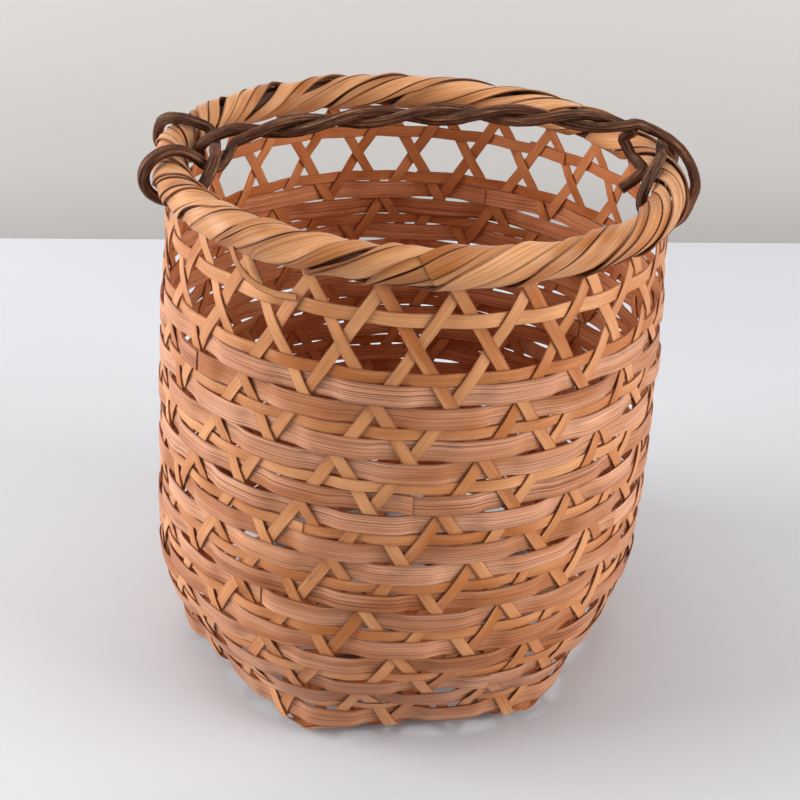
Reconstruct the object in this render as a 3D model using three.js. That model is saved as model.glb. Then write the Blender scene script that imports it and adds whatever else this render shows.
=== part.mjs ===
// A bamboo flower basket in open hexagonal weave, with a wrapped rim and a twisted vine handle.
// Millimetres, +Z up. The origin is the middle of the base, on the surface that the basket stands on.
// Angles run from the front (-Y) towards +X. A row is the height between two ring strips.
// Levels are distances outwards from the middle surface of the weave.

import * as THREE from "three";

// Overall form
const wallTopRadius = 102.9;
const bellyBulge = 6.6;
const bellyHeight = 62;
const footInset = 11;
const footCurve = 2.2;
const heelInset = 3.4;
const heelHeight = 7.8;
const lowestRingHeight = 21.3;
const rimHeight = 222;
const leanShare = 0.047;
const widthShare = 0.983;
const frontTurn = 7.5;

// Weave
const stripsPerSide = 4;
const wallRows = 8;
const stripWidth = 4.8;
const ringWidth = 4.6;
const stripThickness = 0.5;
const bandThickness = 0.6;
const weaveGap = 0.3;
const bandEdgeGap = 0.4;
const cornerGap = 0.35;
const bandHoldShare = 0.72;
const baseTightness = 0.955;
const heelHexagonShare = 0.9;
const footHexagonShare = 0.5;
const roundAboveRow = 4;
const flatteningShare = 0.045;
const spreadingAngle = 1.1;
const stripEndRow = 8.8;
const stripEndDrop = 1.82;

// Base battens
const battenWidth = 12;
const battenThickness = 2;
const battenRowsApart = 2;
const battenEndMargin = 12;

// Rim
const rimTubeRadius = 7.8;
const wrapThickness = 0.6;
const wrapWidth = 12.6;
const wrapPinchedWidth = 4.5;
const wrapPinchSharpness = 4;
const wrapSlowingShare = 0.62;
const wrapSlowingSharpness = 4;
const wrapCount = 3;
const wrapTurns = 8;
const wrapStepsPerTurn = 8;
const hoopSteps = 36;
const hoopFlatShare = 0.92;
const seatGap = 0.3;

// Handle
const vineRadius = 2.2;
const vineSides = 6;
const vineGap = 0.55;
const lashGap = 0.5;
const vineSteps = 160;
const archHalfTwists = 5.5;
const archFirstTwist = 135;
const archSteps = 24;
const archFlareShare = 0.35;
const archFlareSharpness = 10;
const archRearSet = 5;
const archLeftInset = 25.9;
const archLeftRise = 7;
const archBendShift = 5;
const archBendRise = 28;
const archRightInset = 14.9;
const archRightRise = 20;

// Shared angles and derived sizes
const bellyRadius = wallTopRadius + bellyBulge;
const footRadius = bellyRadius - footInset;
const heelRadius = footRadius - heelInset;
const rowHeight = (rimHeight - stripEndDrop - lowestRingHeight) / stripEndRow;
const wholeTurn = 360;
const sides = 6;
const sideAngle = wholeTurn / sides;
const crossings = sides * stripsPerSide;
const cellAngle = wholeTurn / (2 * crossings);
const baseCell = (baseTightness * Math.PI * bellyRadius) / crossings;
const baseRow = Math.sqrt(3) * baseCell;
const layerStep = stripThickness + weaveGap;
const baseHeight = battenThickness + seatGap + stripThickness / 2 + layerStep;

// Two strips cross at 60 degrees, and the crossing reaches this far along each of them.
const crossingAngle = Math.PI / 3;
const patchLength = ((stripWidth / 2) * (1 + Math.cos(crossingAngle))) / Math.sin(crossingAngle);
const patchShare = patchLength / baseCell;
const patchAngle = patchShare * cellAngle;

const radians = THREE.MathUtils.degToRad;
const cosDegrees = (angle) => Math.cos(radians(angle));

// How far the chord of a polygon, with corners 2 * half degrees apart, lies inside its circle
// at an angle from a corner.
function chordDrop(half, fromCorner) {
  return bellyRadius * (1 - cosDegrees(half) / cosDegrees(half - fromCorner));
}

// Levels of the strips at their crossings
const ringMidDrop = chordDrop(cellAngle, cellAngle - patchAngle);
const ringEdgeDrop = chordDrop(cellAngle, patchAngle);
const ringLevel = (ringMidDrop + ringEdgeDrop) / 2;
const weaveSwing = (3 * layerStep - ringMidDrop + ringEdgeDrop) / (2 * (1 - 2 * patchShare));
const patchRise = patchShare * weaveSwing;
const crossLevel = layerStep / 2 + patchRise;
const patchLift = chordDrop(cellAngle, cellAngle) - ringMidDrop;
const ringStep = layerStep + patchRise + patchLift + cornerGap;

// At the heel the strips change sides in less than a cell, from the flat layers of the base.
const heelShare = 1 - patchLength / (baseCell - patchLength);
const heelLevel = ((3 * layerStep) / heelShare - 2 * layerStep) / 2 + cornerGap;

// The top ends spread so far apart that they still clear each other at the last crossing.
const topReach = stripEndRow - wallRows;
const topShare = (0.5 - patchShare / 2) / topReach;
const topSwing = weaveSwing * 2 - 2 * crossLevel;
const topLevel = ((layerStep + topSwing) / topShare - topSwing) / 2;

// Levels and heights of the wide bands
const bandHoldAngle = bandHoldShare * cellAngle;
const bandStep = (stripThickness + bandThickness) / 2 + weaveGap;
const bandWidth = (rowHeight - ringWidth - 3 * bandEdgeGap) / 2;
const bandOffset = (ringWidth / 2 + bandEdgeGap + bandWidth / 2) / rowHeight;

// Which crossings of rows 2 to 9 show the upper half, in cells from the front, every fourth cell
const shownCell = [0, -1, -2, -1, 0, 1, 0, -1];

// Rim sections
const wrapInnerRadius = rimTubeRadius - wrapThickness;
const hoopSagitta = wallTopRadius * (1 - Math.cos(Math.PI / hoopSteps));
const hoopEnvelope = wrapInnerRadius * Math.cos(Math.PI / wrapStepsPerTurn) - seatGap - hoopSagitta;
const hoopInside = topLevel + stripThickness / 2 + seatGap + hoopSagitta;
const hoopOutside = hoopFlatShare * hoopEnvelope;
const lashRadius = rimTubeRadius + lashGap + vineRadius;

const basket = new THREE.Group();
const colours = {
  strip: 0xc08a55,
  band: 0xb07a58,
  batten: 0xb98a58,
  hoop: 0xb07c4c,
  wrap: 0xd2aa74,
  vine: 0x4b382c,
};

// The finished basket is a little narrower than it is deep, and leans to the right on a flat base.
function lean(point) {
  const share = point.z / rimHeight;
  return new THREE.Vector3(
    widthShare * point.x + leanShare * point.z,
    point.y,
    point.z - leanShare * point.x * share,
  );
}

// Builds a closed solid from equal rings of points, run round in a loop or capped at both ends.
// Each four-cornered face is split along its shorter diagonal, or as the given function says
// for its place in the ring.
function solidFromRings(rings, isLoop, isForward) {
  const count = rings[0].length;
  const points = rings.flat();
  const index = [];
  const spans = isLoop ? rings.length : rings.length - 1;
  for (let i = 0; i < spans; i++) {
    const a = i * count;
    const b = ((i + 1) % rings.length) * count;
    for (let j = 0; j < count; j++) {
      const k = (j + 1) % count;
      const forward = points[a + j].distanceTo(points[b + k]);
      const backward = points[a + k].distanceTo(points[b + j]);
      if (isForward ? isForward(j) : forward < backward) {
        index.push(a + j, a + k, b + k, a + j, b + k, b + j);
      } else {
        index.push(a + j, a + k, b + j, a + k, b + k, b + j);
      }
    }
  }
  if (!isLoop) {
    const end = (rings.length - 1) * count;
    for (let j = 1; j < count - 1; j++) {
      index.push(0, j + 1, j, end, end + j, end + j + 1);
    }
  }
  const positions = points.flatMap((p) => lean(p).toArray());
  const geometry = new THREE.BufferGeometry();
  geometry.setAttribute("position", new THREE.Float32BufferAttribute(positions, 3));
  geometry.setIndex(index);
  return geometry;
}

function addPiece(name, geometry, colour, roughness) {
  const faceted = geometry.toNonIndexed();
  faceted.computeVertexNormals();
  const material = new THREE.MeshStandardMaterial({ color: colour, roughness, metalness: 0 });
  const mesh = new THREE.Mesh(faceted, material);
  mesh.name = name;
  basket.add(mesh);
}

// Sweeps a flat strip through stations that each have a point and an outward normal.
function sweepStrip(stations, width, thickness, isLoop) {
  const count = stations.length;
  const rings = stations.map((station, i) => {
    const before = stations[isLoop ? (i + count - 1) % count : Math.max(i - 1, 0)].point;
    const after = stations[isLoop ? (i + 1) % count : Math.min(i + 1, count - 1)].point;
    const along = after.clone().sub(before).normalize();
    const across = station.normal.clone().cross(along).normalize();
    const up = along.clone().cross(across);
    const corner = (s, u) =>
      station.point.clone().addScaledVector(across, (s * width) / 2).addScaledVector(up, (u * thickness) / 2);
    return [corner(1, -1), corner(1, 1), corner(-1, 1), corner(-1, -1)];
  });
  return solidFromRings(rings, isLoop);
}

// The wall's middle surface. Row 0 is the lowest ring, and row -0.5 is the heel of the base.
function rowPosition(row) {
  if (row < 0) {
    const share = -row / 0.5;
    return {
      z: THREE.MathUtils.lerp(lowestRingHeight, heelHeight, share),
      radius: THREE.MathUtils.lerp(footRadius, heelRadius, share),
      hexagon: THREE.MathUtils.lerp(footHexagonShare, heelHexagonShare, share),
    };
  }
  const z = lowestRingHeight + rowHeight * row;
  const hexagon = footHexagonShare * Math.max(0, 1 - row / roundAboveRow) ** 2;
  if (z > bellyHeight) {
    const rise = (z - bellyHeight) / (rimHeight - bellyHeight);
    return { z, hexagon, radius: bellyRadius - (bellyRadius - wallTopRadius) * rise ** 2 };
  }
  const fall = (bellyHeight - z) / (bellyHeight - lowestRingHeight);
  return { z, hexagon, radius: bellyRadius - (bellyRadius - footRadius) * fall ** footCurve };
}

function wallPoint(angle, row) {
  const { z, radius, hexagon } = rowPosition(row);
  const phase = radians(sides * (angle - frontTurn));
  const reach = radius * (1 - hexagon * flatteningShare * Math.cos(phase));
  const theta = radians(angle + hexagon * spreadingAngle * Math.sin(phase));
  return new THREE.Vector3(reach * Math.sin(theta), -reach * Math.cos(theta), z);
}

function wallNormal(angle, row) {
  const step = 0.05;
  const alongWall = wallPoint(angle + 1, row).sub(wallPoint(angle - 1, row));
  const upWall = wallPoint(angle, row + step).sub(wallPoint(angle, row - step));
  return alongWall.cross(upWall).normalize();
}

function wallStation(angle, row, level) {
  const normal = wallNormal(angle, row);
  const point = wallPoint(angle, row).addScaledVector(normal, level);
  return { point, normal };
}

// The level, at one angle, of a straight chord between two angles of a row that share a level
function chordLevel(from, to, row, level, at) {
  const start = wallStation(from, row, level).point;
  const end = wallStation(to, row, level).point;
  const chordPoint = start.lerp(end, (at - from) / (to - from));
  return chordPoint.sub(wallPoint(at, row)).dot(wallNormal(at, row));
}

// Ring strips: polygons whose corners pass outside the strips that run up to the left
function ringCorner(row, k) {
  const angle = frontTurn + cellAngle / 2 - cellAngle * row + 2 * cellAngle * k;
  return wallStation(angle, row, ringLevel);
}

for (let ring = 0; ring <= wallRows; ring++) {
  const stations = [];
  for (let k = 0; k < crossings; k++) {
    stations.push(ringCorner(ring, k));
  }
  const name = `ring_strip_${wallRows + 1 - ring}`;
  addPiece(name, sweepStrip(stations, ringWidth, stripThickness, true), colours.strip, 0.6);
}

// Levels of the slanting strips where they pass outside the middle of a ring's chord,
// and inside its corner
function levelOverRing(angle, row) {
  return chordLevel(angle - cellAngle, angle + cellAngle, row, ringLevel, angle) + ringStep;
}

function levelUnderRing(angle, row) {
  const before = chordLevel(angle - 2 * cellAngle, angle, row, ringLevel, angle - patchAngle);
  const after = chordLevel(angle, angle + 2 * cellAngle, row, ringLevel, angle + patchAngle);
  return Math.min(before, after) - ringStep;
}

function levelAtCrossing(row) {
  return row < 0 ? heelLevel : crossLevel;
}

// One end of a long strip on the wall, from the heel up to the rim. It leans right or left (+1, -1).
function wallHalf(side, distance, direction) {
  const sideCentre = frontTurn + sideAngle * (side + direction);
  const angleAt = (row) =>
    sideCentre + direction * cellAngle * (stripsPerSide + 0.5 - 2 * distance + row);
  const stations = [];
  for (let half = -1; half <= 2 * wallRows; half++) {
    const row = half / 2;
    const angle = angleAt(row);
    const isCrossing = half % 2 !== 0;
    const levelAtRing = direction > 0 ? levelOverRing : levelUnderRing;
    const level = isCrossing ? -direction * levelAtCrossing(row) : levelAtRing(angle, row);
    stations.push(wallStation(angle, row, level));
  }
  stations.push(wallStation(angleAt(stripEndRow), stripEndRow, -direction * topLevel));
  return stations;
}

// The point of the base at a distance from the middle, measured square to a side, and along it
function baseStation(side, distance, along, level) {
  const theta = radians(frontTurn + sideAngle * side);
  const outX = Math.sin(theta);
  const outY = -Math.cos(theta);
  const point = new THREE.Vector3(
    outX * distance - outY * along,
    outY * distance + outX * along,
    baseHeight - level,
  );
  return { point, normal: new THREE.Vector3(0, 0, -1) };
}

// Long strips: each crosses the base parallel to one side and climbs the wall at both ends
let stripNumber = 1;
for (let side = 0; side < sides; side++) {
  const baseLevel = ((side % 3) - 1) * layerStep;
  for (let i = 0; i < stripsPerSide; i++) {
    const distance = i + 0.5;
    const flatEnd = (2 * (stripsPerSide - 0.5) - distance) * baseCell + patchLength;
    const left = wallHalf(side, distance, -1).reverse();
    const right = wallHalf(side, distance, 1);
    const leftFlat = baseStation(side, distance * baseRow, -flatEnd, baseLevel);
    const rightFlat = baseStation(side, distance * baseRow, flatEnd, baseLevel);
    const stations = [...left, leftFlat, rightFlat, ...right];
    const name = `long_strip_${String(stripNumber).padStart(2, "0")}`;
    addPiece(name, sweepStrip(stations, stripWidth, stripThickness, false), colours.strip, 0.6);
    stripNumber++;
  }
}

// Wide bands: they pass in front of one crossing and behind the next, held flat across each
function wideBand(rowNumber, isUpper) {
  const rowBelow = wallRows - rowNumber;
  const row = isUpper ? rowBelow + 1 - bandOffset : rowBelow + bandOffset;
  const shownAngle = frontTurn + cellAngle * shownCell[rowNumber - 2];
  const stations = [];
  for (let k = 0; k < crossings; k++) {
    const isShown = k % 2 === 0;
    const angle = shownAngle + 2 * cellAngle * k;
    const start = angle - bandHoldAngle;
    const end = angle + bandHoldAngle;
    const drop = -chordLevel(start, end, row, 0, angle);
    const reach = levelAtCrossing(rowBelow + 0.5) + bandStep + cornerGap;
    const level = isShown === isUpper ? drop / 2 - reach : drop + reach;
    stations.push(wallStation(start, row, level));
    stations.push(wallStation(end, row, level));
  }
  return sweepStrip(stations, bandWidth, bandThickness, true);
}

for (let rowNumber = 2; rowNumber <= wallRows; rowNumber++) {
  addPiece(`wide_band_${rowNumber}_upper`, wideBand(rowNumber, true), colours.band, 0.65);
  addPiece(`wide_band_${rowNumber}_lower`, wideBand(rowNumber, false), colours.band, 0.65);
}
addPiece(`wide_band_${wallRows + 1}`, wideBand(wallRows + 1, true), colours.band, 0.65);

// Base battens: three flat slats under the woven base
for (let i = -1; i <= 1; i++) {
  const shift = i * battenRowsApart * baseRow;
  const reach = (stripsPerSide - 0.5) * baseRow;
  const halfLength = (reach - Math.abs(shift) / 2) / Math.cos(Math.PI / sides) - battenEndMargin;
  const geometry = new THREE.BoxGeometry(2 * halfLength, battenWidth, battenThickness);
  geometry.translate(0, shift, battenThickness / 2);
  geometry.rotateZ(radians(frontTurn));
  const name = ["base_batten_front", "base_batten_middle", "base_batten_rear"][i + 1];
  addPiece(name, geometry, colours.batten, 0.6);
}

// A point at a distance from the rim's centreline. Angle 0 of the section is outside, 90 is on top.
function rimPoint(angle, section, distance) {
  const theta = radians(angle);
  const reach = wallTopRadius + distance * cosDegrees(section);
  const z = rimHeight + distance * Math.sin(radians(section));
  return new THREE.Vector3(reach * Math.sin(theta), -reach * Math.cos(theta), z);
}

// Rim hoops: half-round sections on both sides of the strips' ends
function rimHoop(outwards) {
  const innerHalf = Math.sqrt(hoopEnvelope ** 2 - hoopInside ** 2);
  const outerHalf = Math.sqrt(hoopEnvelope ** 2 - hoopOutside ** 2);
  const profile = [
    [hoopInside, -innerHalf],
    [hoopOutside, -outerHalf],
    [hoopOutside, outerHalf],
    [hoopInside, innerHalf],
  ];
  const rings = [];
  for (let k = 0; k < hoopSteps; k++) {
    const theta = (2 * Math.PI * k) / hoopSteps;
    const section = profile.map(([across, up]) => {
      const reach = wallTopRadius + outwards * across;
      return new THREE.Vector3(reach * Math.sin(theta), -reach * Math.cos(theta), rimHeight + up);
    });
    rings.push(outwards > 0 ? section.reverse() : section);
  }
  return solidFromRings(rings, true);
}

addPiece("rim_hoop_outer", rimHoop(1), colours.hoop, 0.6);
addPiece("rim_hoop_inner", rimHoop(-1), colours.hoop, 0.6);

// Rim wraps: flat strips wound round both hoops, side by side, bent to the tube across their width.
// Under the rim each turn bunches up to pass through one opening between two crossings.
function rimWrap(number) {
  const steps = wrapTurns * wrapStepsPerTurn;
  const turnAngle = wholeTurn / wrapTurns;
  const rings = [];
  const middles = [];
  for (let i = 0; i < steps; i++) {
    const section = (wholeTurn * i) / wrapStepsPerTurn;
    const pastUnder = radians(section - 270);
    const nearUnder = (1 + Math.cos(pastUnder)) / 2;
    const slowing = wrapSlowingShare * nearUnder ** wrapSlowingSharpness;
    const advance = pastUnder - slowing * Math.sin(pastUnder);
    const rate = 1 - slowing * Math.cos(pastUnder);
    const angle = turnAngle * (number / wrapCount + advance / (2 * Math.PI));
    const turnLength = radians(turnAngle) * rate * wallTopRadius;
    const pitch = Math.atan((2 * Math.PI * rimTubeRadius) / turnLength);
    const pinch = nearUnder ** wrapPinchSharpness;
    const half = THREE.MathUtils.lerp(wrapWidth, wrapPinchedWidth, pinch) / 2;
    const place = (share, distance) => {
      const reach = wallTopRadius + distance * cosDegrees(section);
      const alongRim = (-share * half * Math.sin(pitch)) / reach;
      const roundTube = (share * half * Math.cos(pitch)) / distance;
      const degrees = THREE.MathUtils.radToDeg;
      return rimPoint(angle + degrees(alongRim), section + degrees(roundTube), distance);
    };
    const outer = [1, 0, -1].map((share) => place(share, rimTubeRadius));
    const inner = [-1, 0, 1].map((share) => place(share, wrapInnerRadius));
    rings.push([...outer, ...inner]);
    middles.push(rimPoint(angle, section, rimTubeRadius));
  }
  return { rings, middles };
}

// The least distance between two stretches of a winding that lie at least a given length apart
function leastSpacing(points, isLoop, lengthApart) {
  const stepsApart = Math.ceil(lengthApart / points[0].distanceTo(points[1]));
  let least = Infinity;
  points.forEach((p, i) => {
    for (let j = i + stepsApart; j < points.length; j++) {
      if (isLoop && i + points.length - j < stepsApart) continue;
      least = Math.min(least, p.distanceTo(points[j]));
    }
  });
  return least;
}

function printGap(name, gap) {
  console.log(`${name}, least gap to itself: ${gap.toFixed(2)} mm`);
}

for (let number = 0; number < wrapCount; number++) {
  const { rings, middles } = rimWrap(number);
  const isOuterFace = (j) => j < 3;
  addPiece(`rim_wrap_${number + 1}`, solidFromRings(rings, true, isOuterFace), colours.wrap, 0.45);
  printGap(`rim_wrap_${number + 1}`, leastSpacing(middles, true, 4 * wrapWidth) - wrapWidth);
}

// Handle: one vine, doubled into a twisted arch and lashed round the rim at both ends.
// A lashing row is the angle round the basket, the angle round the rim, and how far the vine stands off
// the rim, in vine radii.
const rightStart = [
  [86.6, 190, 4],
  [87.4, 183, 2.2],
  [88.2, 170, 0.7],
  [89.9, 158, 0.2],
  [92, 155, 1.2],
  [94.6, 153, 2.5],
  [95.9, 148, 3.7],
  [96.8, 143, 5.2],
];
const leftLashing = [
  [-88, 180, 5.6],
  [-84, 184, 4.5],
  [-80.5, 181, 2.8],
  [-78.5, 170, 1.5],
  [-77.5, 150, 0.6],
  [-76.5, 125, 0.1],
  [-75, 90, 0],
  [-74, 55, 0.1],
  [-74.2, 25, 0.2],
  [-75, -5, 0.2],
  [-75.8, -35, 0.1],
  [-76, -65, 0],
  [-75.5, -95, 0],
  [-74, -125, 0],
  [-72, -155, 0.1],
  [-71.2, -175, 0.8],
  [-73.5, -192, 2.6],
  [-79, -198, 4.1],
  [-86, -195, 3.9],
  [-92.5, -182, 3.2],
  [-98.3, -190, 2.4],
  [-101, -204, 1.2],
  [-100, -225, 0.2],
  [-97.5, -262, 0],
  [-98.5, -300, 0],
  [-100.5, -335, 0.1],
  [-101, -370, 0.2],
  [-102.3, -405, 0.1],
  [-104.3, -440, 0],
  [-104, -475, 0],
  [-98.5, -512, 0],
  [-93.5, -538, 0],
  [-91.3, -551, 0.2],
  [-92, -557, 1.2],
  [-93.7, -560, 3.1],
];
const rightLashing = [
  [93.6, 116, 5.3],
  [93, 105, 3.8],
  [92, 88, 2.3],
  [90.2, 60, 1],
  [88, 28, 0.4],
  [86.4, 0, 0.4],
  [84, -32, 0.2],
  [78.5, -58, 0],
  [75.5, -90, 0],
  [75, -130, 0],
  [75, -170, 0],
  [76.5, -203, 0],
  [80.3, -216, 0],
  [84.7, -234, 0],
  [90.5, -252, 0],
  [96, -264, 0.2],
  [100.5, -284, 0.5],
  [103, -320, 0.2],
  [103.2, -360, 0],
  [103.2, -400, 0],
  [103, -425, 0],
];

const lash = (rows) =>
  rows.map(([angle, section, standOff]) => rimPoint(angle, section, lashRadius + standOff * vineRadius));

// One strand of the arch, from left to right: both wind round one curve that bends towards a point.
function archStrand(firstTwist) {
  const start = new THREE.Vector3(archLeftInset - wallTopRadius, archRearSet, rimHeight + archLeftRise);
  const bend = new THREE.Vector3(archBendShift, archRearSet, rimHeight + archBendRise);
  const finish = new THREE.Vector3(wallTopRadius - archRightInset, archRearSet, rimHeight + archRightRise);
  const middle = new THREE.QuadraticBezierCurve3(start, bend, finish);
  const strandOffset = vineRadius + vineGap / 2;
  const points = [];
  for (let i = 0; i <= archSteps; i++) {
    const share = i / archSteps;
    const twist = radians(firstTwist + (archHalfTwists * wholeTurn * share) / 2);
    const spread = new THREE.Vector3(0, -Math.cos(twist), Math.sin(twist));
    const flare = 1 + archFlareShare * Math.abs(2 * share - 1) ** archFlareSharpness;
    points.push(middle.getPoint(share).addScaledVector(spread, strandOffset * flare));
  }
  return points;
}

const route = new THREE.CatmullRomCurve3(
  [
    ...lash(rightStart),
    ...archStrand(archFirstTwist + wholeTurn / 2).reverse(),
    ...lash(leftLashing),
    ...archStrand(archFirstTwist),
    ...lash(rightLashing),
  ],
  false,
  "centripetal",
);
const vinePoints = route.getSpacedPoints(vineSteps);
const vineFrames = route.computeFrenetFrames(vineSteps, false);
const vineRings = vinePoints.map((centre, i) => {
  const ring = [];
  for (let j = 0; j < vineSides; j++) {
    const turn = (2 * Math.PI * j) / vineSides;
    ring.push(
      centre
        .clone()
        .addScaledVector(vineFrames.normals[i], vineRadius * Math.cos(turn))
        .addScaledVector(vineFrames.binormals[i], vineRadius * Math.sin(turn)),
    );
  }
  return ring;
});
addPiece("handle_vine", solidFromRings(vineRings, false), colours.vine, 0.85);

const finePoints = route.getSpacedPoints(8 * vineSteps);
printGap("handle_vine", leastSpacing(finePoints, false, 7 * vineRadius) - 2 * vineRadius);

export default basket;
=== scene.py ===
import math
import bpy
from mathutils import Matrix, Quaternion, Vector, noise


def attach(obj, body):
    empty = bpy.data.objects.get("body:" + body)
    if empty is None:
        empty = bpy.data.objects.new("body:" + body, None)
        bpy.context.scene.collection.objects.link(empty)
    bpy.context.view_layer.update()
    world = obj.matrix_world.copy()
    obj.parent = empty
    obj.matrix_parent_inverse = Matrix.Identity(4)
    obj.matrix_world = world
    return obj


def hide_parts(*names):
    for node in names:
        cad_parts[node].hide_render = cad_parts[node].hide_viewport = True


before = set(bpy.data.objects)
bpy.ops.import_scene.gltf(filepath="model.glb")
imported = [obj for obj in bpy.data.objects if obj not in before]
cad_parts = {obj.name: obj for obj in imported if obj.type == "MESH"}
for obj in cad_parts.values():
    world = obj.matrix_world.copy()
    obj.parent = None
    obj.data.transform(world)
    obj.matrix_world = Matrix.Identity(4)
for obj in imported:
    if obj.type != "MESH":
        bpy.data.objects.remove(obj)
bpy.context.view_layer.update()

# Studio: a pale table and a light grey wall, seen by a 66 mm lens from 29 degrees above. The table ends
# behind the basket and the wall stands further back, so that a camera can go round the basket. Large soft
# lamps stand on the left and right and one hangs above, so the front is a little darker than both sides.
camera_place = (0.0030, -0.5736, 0.4276)
camera_down = math.radians(28.75)
camera_roll = math.radians(0.36)
lens_mm = 66.2
sensor_mm = 36.0
table_edge = 0.4547
wall_distance = 0.70
half_table = 3.0
wall_bottom = -1.0
wall_top = 3.0
dimple_scale = 900.0
dimple_strength = 0.04
dimple_depth = 0.0005
paint_shine = 0.1
lamp_aim = Vector((0, 0, 0.12))
room_light = 0.30


def linear(hex_code):
    channels = [int(hex_code[i:i + 2], 16) / 255 for i in (1, 3, 5)]
    curve = [c / 12.92 if c <= 0.04045 else ((c + 0.055) / 1.055) ** 2.4 for c in channels]
    return (*curve, 1.0)


def add_node(tree, kind, inputs=None, **settings):
    node = tree.nodes.new(kind)
    for name, value in settings.items():
        setattr(node, name, value)
    for name, value in (inputs or {}).items():
        if isinstance(value, bpy.types.NodeSocket):
            tree.links.new(value, node.inputs[name])
        else:
            node.inputs[name].default_value = value
    return node


def new_surface(name):
    material = bpy.data.materials.new(name)
    material.use_nodes = True
    tree = material.node_tree
    tree.nodes.clear()
    return material, tree


def painted_surface(name, colour, roughness):
    """Matt paint on board: one even colour with the faint dimples that a roller leaves."""
    material, tree = new_surface(name)
    dimples = add_node(tree, "ShaderNodeTexNoise", {"Scale": dimple_scale, "Detail": 2.0})
    bump = add_node(tree, "ShaderNodeBump", {
        "Strength": dimple_strength, "Distance": dimple_depth, "Height": dimples.outputs["Fac"]})
    shader = add_node(tree, "ShaderNodeBsdfPrincipled", {
        "Base Color": linear(colour), "Roughness": roughness, "Specular IOR Level": paint_shine,
        "Normal": bump.outputs["Normal"]})
    add_node(tree, "ShaderNodeOutputMaterial", {"Surface": shader.outputs["BSDF"]})
    return material


def stage_plane(name, corners, material):
    mesh = bpy.data.meshes.new(name)
    mesh.from_pydata(corners, [], [(0, 1, 2, 3)])
    mesh.materials.append(material)
    plane = bpy.data.objects.new(name, mesh)
    bpy.context.scene.collection.objects.link(plane)


# Both paints are matt, so the table and the wall stay plain and show only the basket's soft shadows.
table_paint = painted_surface("matt_white_table_paint", "#BFC0C4", 0.6)
wall_paint = painted_surface("matt_grey_wall_paint", "#BFBCB9", 0.8)
stage_plane("table_top", [(-half_table, -half_table, 0), (half_table, -half_table, 0),
                          (half_table, table_edge, 0), (-half_table, table_edge, 0)], table_paint)
stage_plane("rear_wall", [(-half_table, wall_distance, wall_bottom), (half_table, wall_distance, wall_bottom),
                          (half_table, wall_distance, wall_top), (-half_table, wall_distance, wall_top)],
            wall_paint)

camera_data = bpy.data.cameras.new("camera")
camera_data.lens = lens_mm
camera_data.sensor_width = sensor_mm
camera = bpy.data.objects.new("camera", camera_data)
camera.location = camera_place
camera.rotation_mode = "QUATERNION"
camera.rotation_quaternion = (Quaternion((1, 0, 0), math.pi / 2 - camera_down)
                              @ Quaternion((0, 0, 1), camera_roll))
bpy.context.scene.collection.objects.link(camera)
bpy.context.scene.camera = camera

# A lamp is its name, its place and its size in metres, and its power in watts.
softboxes = [("left_softbox", (-1.61, -0.08, 0.68), 1.12, 43.0),
             ("right_softbox", (1.57, -0.59, 0.65), 1.12, 36.4),
             ("top_softbox", (-0.10, 0.02, 1.30), 0.9, 5.7)]
for name, place, size, power in softboxes:
    lamp_data = bpy.data.lights.new(name, "AREA")
    lamp_data.size = size
    lamp_data.energy = power
    lamp = bpy.data.objects.new(name, lamp_data)
    lamp.location = place
    lamp.rotation_euler = (lamp_aim - Vector(place)).to_track_quat("-Z", "Y").to_euler()
    bpy.context.scene.collection.objects.link(lamp)

world = bpy.data.worlds.new("studio_room")
world.use_nodes = True
background = world.node_tree.nodes["Background"]
background.inputs["Color"].default_value = linear("#F5F5F6")
background.inputs["Strength"].default_value = room_light
bpy.context.scene.world = world
bpy.context.scene.view_settings.view_transform = "Standard"

# Ring strips: narrow splits of bamboo, one at each row, that close the weave sideways. They pass outside the
# strips that lean left and inside those that lean right, and their ends lap inside the wall. This section
# also has the basket's form, which all woven pieces follow, in millimetres and degrees from the front.
MM = 0.001
whole_turn = 360
# The wall's form. It leans to the right, and its foot is a rounded hexagon that fades out upwards.
wall_top_radius = 102.9
belly_radius = 109.5
belly_height = 62.0
belly_curve = 2
foot_radius = 98.5
foot_curve = 2.2
heel_radius = 95.1
heel_height = 7.8
heel_rows = 0.5
lowest_ring_height = 21.3
row_height = 22.6
rim_height = 222.0
lean_share = 0.047
width_share = 0.983
front_turn = 7.5
base_sides = 6
heel_hexagon = 0.9
foot_hexagon = 0.5
hexagon_fade = 2
round_above_row = 4
side_flattening = 0.045
side_spreading = 1.1
# Small steps round the wall and up it, from which its slope is taken.
angle_nudge = 1
row_nudge = 0.05
# The weave: its rows and crossings, and how far a strip swings in and out between them.
wall_rows = 8
strips_per_side = 4
crossings = 24
cell_angle = whole_turn / (2 * crossings)
strip_thickness = 0.5
strip_bevel = 0.1
strip_crown = 0.05
edge_mm = 0.4
sharp_angle = math.radians(38)
weave_swing = 0.44
step_mm = 1.6
ring_width = 4.7
ring_widths = {1: 5.6, 2: 5.1}
# The laps of rings and bands: where they lie, how long they are, and how their two ends part in and out and
# up and down.
start_turn = 137.5
ring_lap_angle = {2: 168.0}
lap_angle = 11.0
lap_rise = 0.27
lap_drop = 0.8
# Unevenness: how far strips slip and waver, and over what length.
ring_slip = 0.55
ring_slip_mm = 45
width_waver_share = 0.1
width_waver_mm = 70
edge_waver = 0.09
edge_waver_mm = 9
wander_stride = 7.3
wander_level = 0.5


def lean(point):
    """Leans a point to the right, as the whole basket does, and narrows it from side to side."""
    share = point.z / rim_height
    return Vector((width_share * point.x + lean_share * point.z, point.y,
                   point.z - lean_share * point.x * share))


def mix(a, b, share):
    return a + (b - a) * share


def eased(share):
    share = min(1.0, max(0.0, share))
    return share * share * (3 - 2 * share)


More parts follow.
